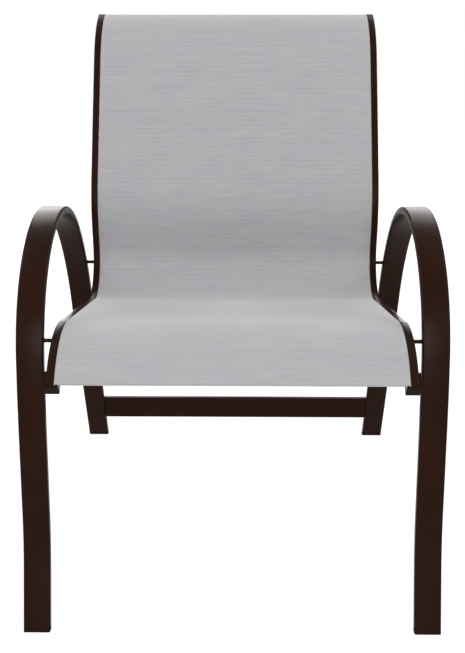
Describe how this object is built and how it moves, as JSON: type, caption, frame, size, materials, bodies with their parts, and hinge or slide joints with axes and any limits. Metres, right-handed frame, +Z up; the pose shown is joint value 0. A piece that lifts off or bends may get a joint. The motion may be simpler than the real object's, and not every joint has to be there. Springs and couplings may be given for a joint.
{
  "type": "sling patio chair",
  "caption": "Stackable sling patio armchair: bent flat-tube side frames carry S-shaped rails with a tensioned woven mesh seat and back.",
  "frame": {"origin": "on the floor, under the middle of the bounding box", "axes": "+Z up, -Y towards where the sitter faces, +X to the sitter's left"},
  "size_m": [0.6256, 0.7222, 0.8575],
  "materials": {
    "frame": "dark brown powder coat on aluminium, semi-gloss",
    "sling": "woven PVC-coated polyester mesh, light grey with fine horizontal slubs",
    "plastic": "moulded nylon, dark brown",
    "spline": "extruded PVC rod, grey",
    "fasteners": "zinc-plated steel"
  },
  "bodies": {
    "root": {"side_frame_left": "frame", "side_frame_right": "frame", "glide_front_left": "plastic", "glide_front_right": "plastic", "glide_rear_left": "plastic", "glide_rear_right": "plastic", "rear_stretcher": "frame", "sling_rail_left": "frame", "sling_rail_right": "frame", "rail_pin_front_left": "frame", "rail_pin_front_right": "frame", "rail_pin_rear_left": "frame", "rail_pin_rear_right": "frame", "rail_cap_front_left": "plastic", "rail_cap_front_right": "plastic", "rail_cap_top_left": "plastic", "rail_cap_top_right": "plastic", "spreader_front": "frame", "spreader_plug_front_left": "fasteners", "spreader_plug_front_right": "fasteners", "spreader_screw_front_left": "fasteners", "spreader_screw_front_right": "fasteners", "spreader_seat": "frame", "spreader_plug_seat_left": "fasteners", "spreader_plug_seat_right": "fasteners", "spreader_screw_seat_left": "fasteners", "spreader_screw_seat_right": "fasteners", "spreader_back": "frame", "spreader_plug_back_left": "fasteners", "spreader_plug_back_right": "fasteners", "spreader_screw_back_left": "fasteners", "spreader_screw_back_right": "fasteners", "sling": "sling", "spline_left": "spline", "spline_right": "spline"}
  },
  "joints": []
}
